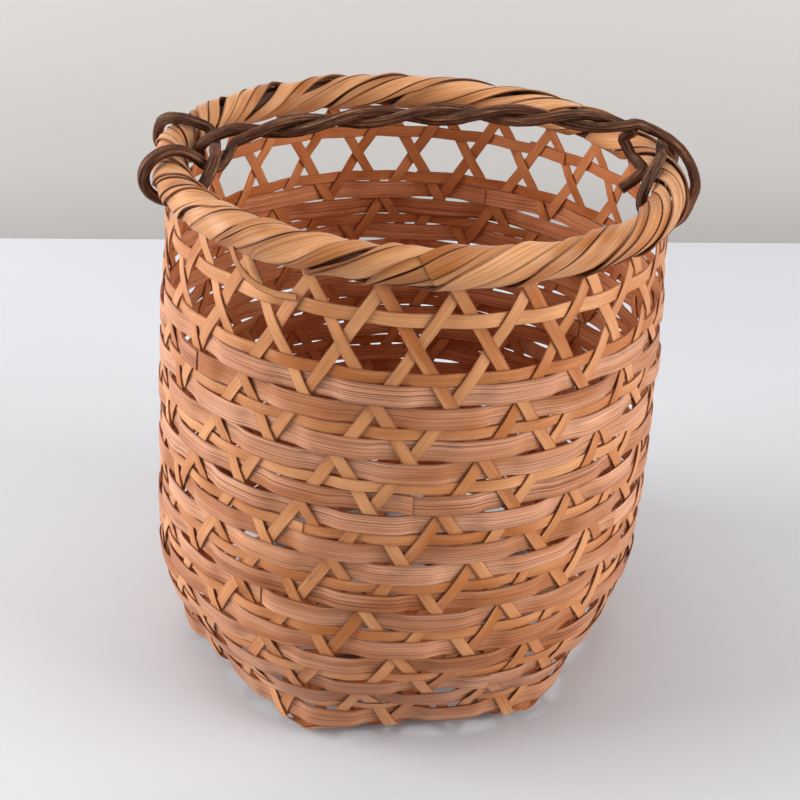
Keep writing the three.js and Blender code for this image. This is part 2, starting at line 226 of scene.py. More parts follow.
def row_form(row):
    """Height, radius and share of the hexagon at a row. Row 0 is the lowest ring, and the heel is below."""
    if row < 0:
        share = -row / heel_rows
        return (mix(lowest_ring_height, heel_height, share), mix(foot_radius, heel_radius, share),
                mix(foot_hexagon, heel_hexagon, share))
    z = lowest_ring_height + row_height * row
    hexagon = foot_hexagon * max(0.0, 1 - row / round_above_row) ** hexagon_fade
    if z > belly_height:
        rise = (z - belly_height) / (rim_height - belly_height)
        return z, belly_radius - (belly_radius - wall_top_radius) * rise ** belly_curve, hexagon
    fall = (belly_height - z) / (belly_height - lowest_ring_height)
    return z, belly_radius - (belly_radius - foot_radius) * fall ** foot_curve, hexagon


def wall_point(angle, row):
    """The middle of the wall at an angle round the basket and a row, before the basket leans."""
    z, radius, hexagon = row_form(row)
    phase = math.radians(base_sides * (angle - front_turn))
    reach = radius * (1 - hexagon * side_flattening * math.cos(phase))
    theta = math.radians(angle + hexagon * side_spreading * math.sin(phase))
    return Vector((reach * math.sin(theta), -reach * math.cos(theta), z))


def wall_normal(angle, row):
    """The direction straight out of the wall at an angle and a row."""
    along = wall_point(angle + angle_nudge, row) - wall_point(angle - angle_nudge, row)
    up = wall_point(angle, row + row_nudge) - wall_point(angle, row - row_nudge)
    return along.cross(up).normalized()


def flattened_wave(phase):
    """A cosine with flatter tops: a strip lies flat on what it crosses and passes quickly between."""
    wave = math.cos(math.pi * phase)
    return wave * (1.5 - 0.5 * wave * wave)


def wander(seed, distance, wavelength, size):
    """A smooth uneven curve along a distance. Another seed, or a fraction added to it, gives another one."""
    return size * noise.noise(Vector((distance / wavelength, wander_stride * seed, wander_level)))


def strip_section(width, thickness, crown, low_waver, high_waver):
    """A flat split with softened edges: (across, up) from one lower edge round to the upper edge above it."""
    left, right = -width / 2 + low_waver, width / 2 + high_waver
    low, high, cut, rim = -thickness / 2, thickness / 2, strip_bevel, edge_mm
    return [(left, low + cut), (left + cut, low), (left + rim, low), (right - rim, low), (right - cut, low),
            (right, low + cut), (right, high - cut), (right - cut, high), (right - rim, high),
            (mix(left, right, 0.5), high + crown), (left + rim, high), (left + cut, high), (left, high - cut)]


# How much each of those points is skin, and how much it is darkened at the edge: partly the cut edge's own
# colour, partly painted shade along the edges and between pieces.
section_skin = [0.0] * 6 + [1.0] * 7
section_edge_and_shade = [1.0, 1.0, 0.0, 0.0, 1.0, 1.0, 1.0, 1.0, 0.0, 0.0, 0.0, 1.0, 1.0]


def split_mesh(name, shells, surface):
    """One mesh from shells of rings of points.

    A shell is (rings, lengths, across, skin, edge, seed, is_loop). The lengths, the places across, the seed
    and the shares of skin and edge become attributes, which the material reads.
    """
    vertices, faces, marks, skins, edges = [], [], [], [], []
    for rings, lengths, across, skin, edge, seed, is_loop in shells:
        start = len(vertices)
        count = len(rings[0])
        for ring, length in zip(rings, lengths):
            vertices += [lean(p) * MM for p in ring]
            marks += [(length, a, seed) for a in across]
            skins += skin
            edges += edge
        spans = len(rings) if is_loop else len(rings) - 1
        for i in range(spans):
            a, b = start + i * count, start + ((i + 1) % len(rings)) * count
            for j in range(count):
                k = (j + 1) % count
                faces.append((a + j, a + k, b + k, b + j))
        if not is_loop:
            last = start + (len(rings) - 1) * count
            faces.append(tuple(start + j for j in reversed(range(count))))
            faces.append(tuple(last + j for j in range(count)))
    mesh = bpy.data.meshes.new(name)
    mesh.from_pydata(vertices, [], faces)
    mesh.materials.append(surface)
    mesh.shade_smooth()
    mesh.set_sharp_from_angle(angle=sharp_angle)
    grain = mesh.attributes.new("grain", "FLOAT_VECTOR", "POINT")
    grain.data.foreach_set("vector", [value for mark in marks for value in mark])
    mesh.attributes.new("skin", "FLOAT", "POINT").data.foreach_set("value", skins)
    mesh.attributes.new("edge", "FLOAT", "POINT").data.foreach_set("value", edges)
    piece = bpy.data.objects.new(name, mesh)
    bpy.context.scene.collection.objects.link(piece)
    return piece


def swept_split(path, width, thickness, seed):
    """Sweeps a flat split along (point, normal) pairs. Its width and edges waver as split bamboo's do."""
    rings, lengths, length = [], [], 0.0
    for i, (point, normal) in enumerate(path):
        along = (path[min(i + 1, len(path) - 1)][0] - path[max(i - 1, 0)][0]).normalized()
        across = normal.cross(along).normalized()
        up = along.cross(across)
        if i:
            length += (point - path[i - 1][0]).length
        widened = width + wander(seed + 0.5, length, width_waver_mm, width_waver_share * width)
        low_waver = wander(seed + 0.2, length, edge_waver_mm, edge_waver)
        high_waver = wander(seed + 0.8, length, edge_waver_mm, edge_waver)
        section = strip_section(widened, thickness, strip_crown, low_waver, high_waver)
        rings.append([point + across * s + up * u for s, u in section])
        lengths.append(length)
    flat = strip_section(width, thickness, 0, 0, 0)
    return rings, lengths, [s for s, u in flat], section_skin, section_edge_and_shade, seed, False


def finish_piece(piece, node):
    """Says what the piece rides on and which CAD node it replaces."""
    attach(piece, "root")
    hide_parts(node)


# What can be seen on split bamboo, with sizes in mm along and across the fibres: slow blotches of light and
# dark, long fibres, fine hairs and a few stains. Strengths are shares of the colour.
blotch_mm = (45, 12)
blotch_range = (0.32, 0.68)
piece_tint = 0.35
fibre_length_mm = 150
fibre_range = (0.5, 0.61)
hair_mm = (16, 0.3)
hair_range = (0.3, 0.7)
hair_contrast = 0.16
stain_mm = (14, 5)
stain_range = (0.66, 0.8)
stain_shade = 0.72
# Painted shade, partly the cut edge's own colour: how far the edges are darkened towards the line colour.
edge_and_shade_darkness = 0.55
pith_roughness = 0.2
grain_stride = 3.7
hair_relief = 0.4
relief_strength = 0.5
relief_depth = 0.0003
skin_shine = 0.3
sheen_roughness = 0.4


def calculated(tree, operation, *values, clamped=False):
    """A sum or product of values, held between 0 and 1 if it is clamped."""
    node = add_node(tree, "ShaderNodeMath", dict(enumerate(values)), operation=operation, use_clamp=clamped)
    return node.outputs[0]


def ranged(tree, value, low, high, to_low=0.0, to_high=1.0):
    """A value between low and high, taken to the same place between to_low and to_high, and held there."""
    node = add_node(tree, "ShaderNodeMapRange", {
        "Value": value, "From Min": low, "From Max": high, "To Min": to_low, "To Max": to_high})
    return node.outputs[0]


def blended(tree, share, a, b, blend="MIX"):
    """Two colours, mixed or multiplied by a share."""
    node = add_node(tree, "ShaderNodeMix", {"Factor": share, "A": a, "B": b},
                    data_type="RGBA", blend_type=blend)
    return node.outputs["Result"]


def split_bamboo(name, light, dark, pith_and_bounce_light_tint, line, line_mm, line_strength, roughness, sheen):
    """Split bamboo: a satin skin side, a duller pith side tinted redder, and fine dark fibres lengthwise.

    The fibres lie about twice line_mm apart. On the pith side the colour is multiplied by
    pith_and_bounce_light_tint: partly the pith's own colour, partly painted warm bounce light on the basket's
    inner faces.
    """
    material, tree = new_surface(name)
    mark = add_node(tree, "ShaderNodeAttribute", attribute_name="grain")
    skin = add_node(tree, "ShaderNodeAttribute", attribute_name="skin")
    edge = add_node(tree, "ShaderNodeAttribute", attribute_name="edge")
    parts = add_node(tree, "ShaderNodeSeparateXYZ", {"Vector": mark.outputs["Vector"]})

    def pattern(size_mm, shift, detail):
        """Noise drawn out along the fibres, and moved by the piece's seed and by the shift."""
        along = calculated(tree, "MULTIPLY", parts.outputs["X"], 1 / size_mm[0])
        across = calculated(tree, "MULTIPLY", parts.outputs["Y"], 1 / size_mm[1])
        seed = calculated(tree, "MULTIPLY_ADD", parts.outputs["Z"], grain_stride, shift)
        place = add_node(tree, "ShaderNodeCombineXYZ", {"X": along, "Y": across, "Z": seed})
        texture = add_node(tree, "ShaderNodeTexNoise", {
            "Vector": place.outputs[0], "Scale": 1.0, "Detail": detail})
        return texture.outputs["Fac"]

    blotch = pattern(blotch_mm, 0, 2.0)
    fibre = pattern((fibre_length_mm, line_mm), 31, 1.0)
    hair = pattern(hair_mm, 57, 2.0)
    stain = pattern(stain_mm, 83, 2.0)
    tint = add_node(tree, "ShaderNodeTexWhiteNoise", {"W": parts.outputs["Z"]}, noise_dimensions="1D")
    own_tint = ranged(tree, tint.outputs["Value"], 0.0, 1.0, -piece_tint, piece_tint)
    shade = calculated(tree, "ADD", ranged(tree, blotch, *blotch_range), own_tint, clamped=True)
    base = blended(tree, shade, linear(light), linear(dark))
    lines = ranged(tree, fibre, *fibre_range, 0.0, line_strength)
    # Painted shade along the edges, partly the cut edge's own colour: the edge share darkens the colour
    # towards the line colour.
    darkened = calculated(tree, "MULTIPLY_ADD", edge.outputs["Fac"], edge_and_shade_darkness, lines, clamped=True)
    lined = blended(tree, darkened, base, linear(line))
    hairs = ranged(tree, hair, *hair_range, 1 - hair_contrast, 1 + hair_contrast)
    stains = ranged(tree, stain, *stain_range, 1.0, stain_shade)
    # Painted bounce light: the inner faces take the pith tint, which is partly the pith's own colour and
    # partly warm light from inside the basket.
    side_tint = blended(tree, skin.outputs["Fac"], (*pith_and_bounce_light_tint, 1), (1, 1, 1, 1))
    sided = blended(tree, 1.0, lined, side_tint, blend="MULTIPLY")
    colour = add_node(tree, "ShaderNodeVectorMath", {
        0: sided, "Scale": calculated(tree, "MULTIPLY", hairs, stains)}, operation="SCALE")
    polish = ranged(tree, skin.outputs["Fac"], 0.0, 1.0, roughness + pith_roughness, roughness)
    relief = calculated(tree, "MULTIPLY_ADD", hair, hair_relief, fibre)
    bump = add_node(tree, "ShaderNodeBump", {
        "Strength": relief_strength, "Distance": relief_depth, "Height": relief}, invert=True)
    shader = add_node(tree, "ShaderNodeBsdfPrincipled", {
        "Base Color": colour.outputs["Vector"], "Roughness": polish, "Normal": bump.outputs["Normal"],
        "IOR": 1.5, "Specular IOR Level": skin_shine,
        "Sheen Weight": sheen, "Sheen Roughness": sheen_roughness})
    add_node(tree, "ShaderNodeOutputMaterial", {"Surface": shader.outputs["BSDF"]})
    return material


# The narrow strips keep the culm's skin: an even satin tan, with faint fibres 0.6 mm apart.
# Their pith side, which faces into the basket, is tinted redder: partly the pith's own colour, partly painted
# warm bounce light.
strip_bamboo = split_bamboo("split_bamboo_satin_tan", "#CD8F5D", "#AA6129", pith_and_bounce_light_tint=(1.0, 0.8, 0.68),
                            line="#6E3814", line_mm=0.3, line_strength=0.22, roughness=0.45, sheen=0.15)


def lap_shares(past):
    """How much a point, some degrees past the start of a hoop, belongs to its inner and its outer end."""
    inner = eased((2 * lap_angle - past) / lap_angle)
    outer = eased((past - whole_turn + lap_angle) / lap_angle)
    return inner, outer


def ring_path(number, seed):
    """The ring's (point, normal) pairs, once round the wall and over its lap."""
    row = wall_rows + 1 - number
    start = ring_lap_angle.get(number, start_turn * number)
    arc = whole_turn + lap_angle
    steps = round(math.radians(arc) * belly_radius / step_mm)
    outermost = front_turn + cell_angle / 2 - cell_angle * row
    path = []
    for i in range(steps + 1):
        past = arc * i / steps
        angle = start + past
        inner, outer = lap_shares(past)
        level = weave_swing * flattened_wave((angle - outermost) / cell_angle) + lap_rise * (outer - inner)
        slip = wander(seed, math.radians(past) * belly_radius, ring_slip_mm, ring_slip) - lap_drop * inner
        place = row + slip / row_height
        normal = wall_normal(angle, place)
        path.append((wall_point(angle, place) + normal * level, normal))
    return path


for number in range(1, wall_rows + 2):
    node = f"ring_strip_{number}"
    width = ring_widths.get(number, ring_width)
    shell = swept_split(ring_path(number, number), width, strip_thickness, number)
    finish_piece(split_mesh(node + "_bamboo", [shell], strip_bamboo), node)

# Long strips: 24 narrow splits of bamboo, each woven straight across the base and up the wall on both sides,
# where one end leans right and the other leans left. Their ends are held in the rim. On the base every strip
# passes outside the next direction and inside the one after, as in all hexagonal weave.
strip_width = 4.9
strip_slip = 0.45
strip_slip_mm = 40
strip_end_row = 8.75
strip_slant = math.radians(30)
long_strip_seed = 20
base_height = 3.35
base_tightness = 0.955
base_cell = base_tightness * math.pi * belly_radius / crossings
base_row = math.sqrt(3) * base_cell
corner_angle = whole_turn / base_sides
least_bend_steps = 4


def base_point(side, distance, along):
    """A point of the base, at a distance out towards one of its sides and a way along that side."""
    theta = math.radians(front_turn + corner_angle * side)
    out_x, out_y = math.sin(theta), -math.cos(theta)
    return Vector((out_x * distance - out_y * along, out_y * distance + out_x * along, base_height))


def wall_run(side, distance, direction, seed):
    """The strip on the wall: (point, normal, phase) from the heel up, where even phases are outside.

    It slips sideways a little, but not where it rounds the heel.
    """
    centre = front_turn + corner_angle * (side + direction)
    run = []
    steps = round((strip_end_row + heel_rows) * row_height / math.cos(strip_slant) / step_mm)
    for i in range(steps + 1):
        row = mix(-heel_rows, strip_end_row, i / steps)
        slip = wander(seed, row * row_height, strip_slip_mm, strip_slip) * eased((row + heel_rows) / 2)
        angle = centre + direction * cell_angle * (strips_per_side + 0.5 - 2 * distance + row)
        angle += math.degrees(slip / belly_radius)
        phase = 2 * row if direction > 0 else 2 * row + 1
        run.append((wall_point(angle, row), wall_normal(angle, row), phase))
    return run


def heel_bend(flat, heel, after_heel):
    """Rounds the strip from the base up to the heel with a smooth curve."""
    start, start_normal, start_phase = flat
    end, end_normal, end_phase = heel
    span = (end - start).length
    tangent_in = Vector((end.x - start.x, end.y - start.y, 0)).normalized()
    tangent_out = (after_heel[0] - end).normalized()
    steps = max(least_bend_steps, round(span / step_mm))
    bend = []
    for i in range(1, steps):
        t = i / steps
        h00, h10 = 2 * t**3 - 3 * t**2 + 1, t**3 - 2 * t**2 + t
        h01, h11 = -2 * t**3 + 3 * t**2, t**3 - t**2
        point = start * h00 + tangent_in * span * h10 + end * h01 + tangent_out * span * h11
        normal = start_normal.lerp(end_normal, t).normalized()
        bend.append((point, normal, mix(start_phase, end_phase, t)))
    return bend


def long_strip_path(side, index, seed):
    """The strip's (point, normal) pairs, from its left-leaning end to its right-leaning end."""
    distance = index + 0.5
    reach = (2 * (strips_per_side - 0.5) - distance) * base_cell
    down = Vector((0, 0, -1))
    flat = []
    steps = round(2 * reach / step_mm)
    for i in range(steps + 1):
        along = mix(-reach, reach, i / steps)
        flat.append((base_point(side, distance * base_row, along), down, along / base_cell - 0.5 + index))
    right = wall_run(side, distance, 1, seed)
    left = wall_run(side, distance, -1, seed + 0.4)
    # The phase carries on evenly from the base to the heel, by one crossing.
    right_shift = flat[-1][2] + 1 - right[0][2]
    left_shift = flat[0][2] - 1 - left[0][2]
    right = [(p, n, phase + right_shift) for p, n, phase in right]
    left = [(p, n, 2 * left[0][2] - phase + left_shift) for p, n, phase in left]
    path = left[::-1] + heel_bend(flat[0], left[0], left[1])[::-1] + flat
    path += heel_bend(flat[-1], right[0], right[1]) + right
    return [(point + normal * weave_swing * flattened_wave(phase), normal) for point, normal, phase in path]


strip_number = 1
for side in range(base_sides):
    for index in range(strips_per_side):
        node = f"long_strip_{strip_number:02d}"
        seed = long_strip_seed + strip_number
        shell = swept_split(long_strip_path(side, index, seed), strip_width, strip_thickness, seed)
        finish_piece(split_mesh(node + "_bamboo", [shell], strip_bamboo), node)
        strip_number += 1

# Wide bands: thin wide splits from inside the culm wall, pushed in between the rings. Each passes in front of
# every second crossing and behind the ones between, and its ends lap. Where the foot curves in, the way from
# ring to ring is longer, and the bands are wider to fill it.
band_width = 8.5
band_thickness = 0.5
band_swing = 1.08
band_hold = 2.5
band_edge_gap = 0.5
band_slip = 0.5
band_slip_mm = 50
band_lap_rise = 0.28
band_seed = 60
# For rows 2 to 9, how many cells from front_turn a lower band is in front and an upper band is behind.
shown_cell = [0, -1, -2, -1, 0, 1, 0, -1]
# With no skin on either side the bands are pinkish brown and duller than the strips, and their cut fibres
# show as strong dark lengthwise lines about 0.6 mm apart.
# Their inner faces are tinted brighter and redder than the outer ones. This is painted warm bounce light,
# since the bands have no skin on either side.
band_bamboo = split_bamboo("split_bamboo_inner_pinkish", "#D09672", "#A66233", pith_and_bounce_light_tint=(1.12, 0.9, 0.72),
                           line="#582812", line_mm=0.28, line_strength=0.65, roughness=0.55, sheen=0.15)


def band_row(number, is_upper):
    """The place of a band's middle: just under the ring above it, or just over the ring below it."""
    row_below = wall_rows - number
    offset = (ring_width + band_width + band_edge_gap) / 2 / row_height
    return row_below + 1 - offset if is_upper else row_below + offset


def wall_stretch(row):
    """How many times longer the way from row to row is along the wall than straight up."""
    rise = wall_point(0, row + row_nudge) - wall_point(0, row - row_nudge)
    return rise.length / (2 * row_nudge * row_height)


def band_path(number, is_upper, seed):
    """The band's (point, normal) pairs. It stays in front or behind, and changes over quickly in between."""
    row = band_row(number, is_upper)
    shown = front_turn + cell_angle * shown_cell[number - 2]
    sign = -1 if is_upper else 1
    start = start_turn * seed
    arc = whole_turn + lap_angle
    steps = round(math.radians(arc) * belly_radius / step_mm)
    path = []
    for i in range(steps + 1):
        past = arc * i / steps
        angle = start + past
        wave = math.cos(math.pi * (angle - shown) / (2 * cell_angle))
        level = sign * math.tanh(band_hold * wave) / math.tanh(band_hold)
        inner, outer = lap_shares(past)
        lap = band_lap_rise * (outer * (1 + level) - inner * (1 - level))
        slip = wander(seed, math.radians(past) * belly_radius, band_slip_mm, band_slip)
        place = row + slip / row_height
        normal = wall_normal(angle, place)
        path.append((wall_point(angle, place) + normal * (band_swing * level + lap), normal))
    return path


for number in range(2, wall_rows + 2):
    for place in (["upper", "lower"] if number <= wall_rows else ["upper"]):
        node = f"wide_band_{number}_{place}" if number <= wall_rows else f"wide_band_{number}"
        seed = band_seed + 2 * number + (place == "lower")
        width = band_width * wall_stretch(band_row(number, place == "upper"))
        shell = swept_split(band_path(number, place == "upper", seed), width, band_thickness, seed)
        finish_piece(split_mesh(node + "_bamboo", [shell], band_bamboo), node)

# Base battens: three flat slats of thick bamboo pushed in under the woven base, which carry the basket.
# They are split from the lower culm and shaved flat.
batten_width = 12.0
batten_thickness = 2.0
batten_rows_apart = 2
batten_end_margin = 12.0
batten_steps = 40
batten_seed = 100
# Shaved slats are plain and light brown, with coarser fibres than the strips.
batten_bamboo = split_bamboo("split_bamboo_plain_slat", "#BE8F5C", "#9A6A40", pith_and_bounce_light_tint=(0.7, 0.5, 0.35),
                             line="#6E4426", line_mm=0.9, line_strength=0.5, roughness=0.5, sheen=0.1)


def unleaned(point):
    """The place that lean() takes to this point, so that a level piece stays level."""
    x = (point.x - lean_share * point.z) / width_share
    return Vector((x, point.y, point.z + lean_share * x * point.z / rim_height))


for i, place in enumerate(["front", "middle", "rear"]):
    shift = (i - 1) * batten_rows_apart * base_row
    half_length = ((strips_per_side - 0.5) * base_row - abs(shift) / 2) / math.cos(math.pi / 6)
    half_length -= batten_end_margin
    turn = math.radians(front_turn)
    path = []
    for k in range(batten_steps + 1):
        along = mix(-half_length, half_length, k / batten_steps)
        x = (along * math.cos(turn) - shift * math.sin(turn)) * width_share
        y = along * math.sin(turn) + shift * math.cos(turn)
        path.append((unleaned(Vector((x, y, batten_thickness / 2))), Vector((0, 0, 1))))
    shell = swept_split(path, batten_width, batten_thickness, batten_seed + i)
    node = f"base_batten_{place}"
    finish_piece(split_mesh(node + "_bamboo", [shell], batten_bamboo), node)

# Rim hoops: two half-round lengths of bamboo, bent into rings inside and outside the wall, that clamp the
# strips' ends between them. The wraps hold them together.
hoop_inside = 2.6
hoop_outside = 5.4
hoop_half_height = 4.9
hoop_steps = 240
hoop_bow_steps = 8
# Painted shade: every point of a hoop takes half the edge darkening, which darkens the whole hoop.
hoop_edge_shade_share = 0.5
hoop_seed = 110
# Little of the hoops shows between the wraps, and it is painted dark brown as shade, standing in for the
# shadow in the gaps between the wraps.
hoop_bamboo_painted_shade = split_bamboo("split_bamboo_hoop_in_painted_shade", "#5A3218", "#42230F", pith_and_bounce_light_tint=(0.8, 0.6, 0.5),
                           line="#2C1808", line_mm=0.6, line_strength=0.5, roughness=0.7, sheen=0.0)


def rim_point(angle, section, distance):
    """A point by its angle round the basket, its angle round the rim and its distance from the rim's middle.

    The angle round the rim is 0 outwards and 90 up.
    """
    theta = math.radians(angle)
    reach = wall_top_radius + distance * math.cos(math.radians(section))
    return Vector((reach * math.sin(theta), -reach * math.cos(theta),
                   rim_height + distance * math.sin(math.radians(section))))


for place, outwards in [("outer", 1), ("inner", -1)]:
    profile = []
    for k in range(hoop_bow_steps + 1):
        bow = math.pi * (k / hoop_bow_steps - 0.5)
        profile.append((mix(hoop_inside, hoop_outside, math.cos(bow)), hoop_half_height * math.sin(bow)))
    rings, lengths = [], []
    for i in range(hoop_steps):
        theta = 2 * math.pi * i / hoop_steps
        ring = []
        for out, up in profile:
            reach = wall_top_radius + outwards * out
            ring.append(Vector((reach * math.sin(theta), -reach * math.cos(theta), rim_height + up)))
        rings.append(ring[::-1] if outwards > 0 else ring)
        lengths.append(wall_top_radius * theta)
    node = f"rim_hoop_{place}"
    across = [up for out, up in profile]
    skin, edge = [1.0] * len(profile), [hoop_edge_shade_share] * len(profile)
    shell = (rings, lengths, across, skin, edge, hoop_seed + outwards, True)
    finish_piece(split_mesh(node + "_bamboo", [shell], hoop_bamboo_painted_shade), node)

# Rim wraps: three wide splits wound side by side round the hoops, closest at the left front. Each has split
# lengthwise into two or three nearly flat strands. One edge of each rides up on its neighbour, which makes
# the ridges, and at the left it is the other edge. A wrap starts on top of its own last turn.
# How the wraps wind: their place, their turns, and how they are slowed and pinched under the rim.
wrap_base_radius = 6.7
wrap_outermost = 8.25
wrap_thickness = 0.5
wrap_width = 14.0
wrap_pinched = 5.0
wrap_pinch_power = 8
wrap_slowing = 0.62
wrap_slowing_power = 4
wrap_turns = 8
wrap_first_angle = 22.0
wrap_loosest_angle = 120.0
wrap_looseness = 0.33
wrap_count = 3
wrap_steps = 64
under_rim = 270
wrap_seed = 120
wrap_seeds_apart = 10
# Their ends, in turns and mm: where each starts, how far it laps, and how far it rises over and sinks under.
wrap_starts = [0.6, 1.62, 0.03]
wrap_lap = 0.3
wrap_lap_ease = 0.3
wrap_over = 0.45
wrap_under = 0.3
# Their strands: where each wrap is split, from one edge (-1) to the other (1), how edges and strands rise and
# tilt, how the raised edge changes over round flip_angle, and how splits open and outer edges draw back.
wrap_splits = [[-1.0, -0.25, 1.0], [-1.0, 0.3, 1.0], [-1.0, -0.45, 0.4, 1.0]]
shingle_lift = 1.15
flip_angle = -82
flip_reach = 52
flip_ease = 25
strand_lift = 0.3
strand_spots = [0, 0.09, 0.5, 0.91, 1]
strand_tilt = 1.2
strand_tilt_mm = 30
strand_flatness = 0.7
split_gap = 0.025
split_gap_mm = 24
split_gap_spread = 2.5
split_least = 0.006
split_waver = 0.2
split_waver_mm = 30
draw_back_from = 0.08
draw_back_share = 1.1
draw_back_mm = 34
# The wraps have the skin side out: light tan and satin, with fine dark lines where the skin has cracked.
wrap_bamboo = split_bamboo("split_bamboo_rim_wrap", "#CF9563", "#9A571D", pith_and_bounce_light_tint=(0.9, 0.65, 0.45),
                           line="#4E2008", line_mm=0.5, line_strength=0.3, roughness=0.48, sheen=0.1)


def wrap_place(number, turn):
    """Angle round the basket, angle round the rim, slope and pinch share at a number of turns.

    A wrap advances more slowly, and is pinched, where it passes under the rim between the strips.
    """
    section = whole_turn * turn
    past_under = math.radians(section - under_rim)
    near_under = (1 + math.cos(past_under)) / 2
    slowing = wrap_slowing * near_under ** wrap_slowing_power
    advance = past_under - slowing * math.sin(past_under)
    turn_angle = whole_turn / wrap_turns
    even_angle = wrap_first_angle + turn_angle * (number / wrap_count + advance / (2 * math.pi))
    past_loosest = math.radians(even_angle - wrap_loosest_angle)
    angle = even_angle + math.degrees(wrap_looseness * math.sin(past_loosest))
    rate = (1 - slowing * math.cos(past_under)) * (1 + wrap_looseness * math.cos(past_loosest))
    slope = math.atan(2 * math.pi * wrap_base_radius / (math.radians(turn_angle) * rate * wall_top_radius))
    return angle, section, slope, near_under ** wrap_pinch_power


def strand_edge(number, share, side, seed, length):
    """A strand's low edge (side 1) or high edge (side -1), as a share of the wrap's half width.

    A split opens and closes along the wrap, and an outer edge of the wrap draws back here and there.
    """
    wavering = wander(number + share, length, split_waver_mm, split_waver)
    if abs(share) < 1:
        gap = max(split_least, split_gap * (1 + wander(seed, length, split_gap_mm, split_gap_spread)))
        return share + side * gap + wavering
    drawn_back = max(0.0, wander(seed, length, draw_back_mm, 1.0) - draw_back_from) * draw_back_share
    return share * (1 - drawn_back) + wavering / 2


def wrap_strand(number, low, high, seed):
    """One strand of a wrap, between two shares of its half width, from its cut end to its tucked end."""
    turn_length = math.hypot(2 * math.pi * wrap_base_radius, 2 * math.pi * wall_top_radius / wrap_turns)
    rings, lengths = [], []
    for i in range(round((wrap_turns + wrap_lap) * wrap_steps) + 1):
        turns = i / wrap_steps
        angle, section, slope, pinch = wrap_place(number, wrap_starts[number] + turns)
        half = mix(wrap_width, wrap_pinched, pinch) / 2
        length = turns * turn_length
        over = wrap_over * eased((wrap_lap + wrap_lap_ease - turns) / wrap_lap_ease)
        under = wrap_under * eased((turns - wrap_turns + wrap_lap_ease) / wrap_lap_ease)
        edge_low = strand_edge(number, low, 1, seed + 0.1, length)
        edge_high = strand_edge(number, high, -1, seed + 0.6, length)
        middle, span = (edge_low + edge_high) / 2, edge_high - edge_low
        tilt = wander(seed + 0.8, length, strand_tilt_mm, strand_tilt)
        from_flip = abs((angle + whole_turn / 2 - flip_angle) % whole_turn - whole_turn / 2)
        flip = eased((flip_reach - from_flip) / flip_ease)

        def place(share, depth):
            """A point of the strand, at a share of the wrap's half width and a depth under its face."""
            lift = shingle_lift * mix((share + 1) / 2, (1 - share) / 2, flip) + tilt * (share - middle)
            lift += strand_lift * mix(share - edge_low, edge_high - share, flip) / span
            lifted = min(wrap_base_radius + lift, wrap_outermost)
            distance = lifted + over - under - depth
            reach = wall_top_radius + distance * math.cos(math.radians(section))
            along_rim = -share * half * math.sin(slope) / reach
            round_tube = share * half * math.cos(slope) / distance
            return rim_point(angle + math.degrees(along_rim), section + math.degrees(round_tube), distance)

        def across(depth):
            """The strand's face at a depth: nearly flat from edge to edge, as a split of bamboo stays."""
            low_end, high_end = place(edge_low, depth), place(edge_high, depth)
            return [place(mix(edge_high, edge_low, k), depth).lerp(high_end.lerp(low_end, k), strand_flatness)
                    for k in strand_spots]

        rings.append(across(0) + across(wrap_thickness)[::-1])
        lengths.append(length)
    marks = [mix(high, low, k) * wrap_width / 2 for k in strand_spots]
    skin = [1.0] * len(strand_spots) + [0.0] * len(strand_spots)
    # The strands' edges take the painted edge shade, which darkens the lines between the strands.
    edge = [1.0 if k in (0, 1) else 0.0 for k in strand_spots]
    return rings, lengths, marks + marks[::-1], skin, edge + edge, seed, False


def centripetal(points, steps_each):
    """A centripetal Catmull-Rom curve through the points."""
    curve = []
    padded = [points[0] * 2 - points[1], *points, points[-1] * 2 - points[-2]]
    for p0, p1, p2, p3 in zip(padded, padded[1:], padded[2:], padded[3:]):
        d0, d1, d2 = (math.sqrt(max((b - a).length, 1e-6)) for a, b in ((p0, p1), (p1, p2), (p2, p3)))
        t1 = ((p1 - p0) / d0 - (p2 - p0) / (d0 + d1) + (p2 - p1) / d1) * d1
        t2 = ((p2 - p1) / d1 - (p3 - p1) / (d1 + d2) + (p3 - p2) / d2) * d1
        for i in range(steps_each):
            t = i / steps_each
            c2 = p1 * -3 + p2 * 3 - t1 * 2 - t2
            c3 = p1 * 2 - p2 * 2 + t1 + t2
            curve.append(p1 + t1 * t + c2 * t * t + c3 * t ** 3)
    curve.append(points[-1])
    return curve


# One strand has sprung out under the left of the rim, and lies across the first ring.
# Its points are the angle, the height and how far it stands off the wall.
sprung_strand = [(-39.5, 218, 6.0), (-38.2, 213, 5.4), (-37, 209.5, 4.2), (-34, 206, 3.0),
                 (-29.5, 204.6, 2.2), (-25, 204.9, 1.6)]
sprung_width = 2.7
sprung_steps = 10
sprung_seed = 119


def sprung_shell(seed):
    """The sprung strand, as a shell for the wrap's mesh."""
    points = []
    for angle, z, off in sprung_strand:
        row = (z - lowest_ring_height) / row_height
        points.append(wall_point(angle, row) + wall_normal(angle, row) * off)
    path = []
    for point in centripetal(points, sprung_steps):
        path.append((point, Vector((point.x, point.y, 0)).normalized()))
    return swept_split(path, sprung_width, wrap_thickness, seed)


for number in range(wrap_count):
    splits = wrap_splits[number]
    shells = []
    for k, (low, high) in enumerate(zip(splits, splits[1:])):
        shells.append(wrap_strand(number, low, high, wrap_seed + wrap_seeds_apart * number + k))
    if number == 0:
        shells.append(sprung_shell(sprung_seed))
    node = f"rim_wrap_{number + 1}"
    finish_piece(split_mesh(node + "_bamboo", shells, wrap_bamboo), node)

# Handle vine: one dark woody vine with its ridged bark on, doubled and twisted into an arch over the mouth.
# At each end it is lashed round the rim, and its ends are cut off square. A row of a lashing is the angle
# round the basket, the angle round the rim, and how far the vine stands off the wraps, in stand_off_unit.
vine_radius = 2.25
vine_sides = 28
vine_step = 0.8
vine_seed = 150
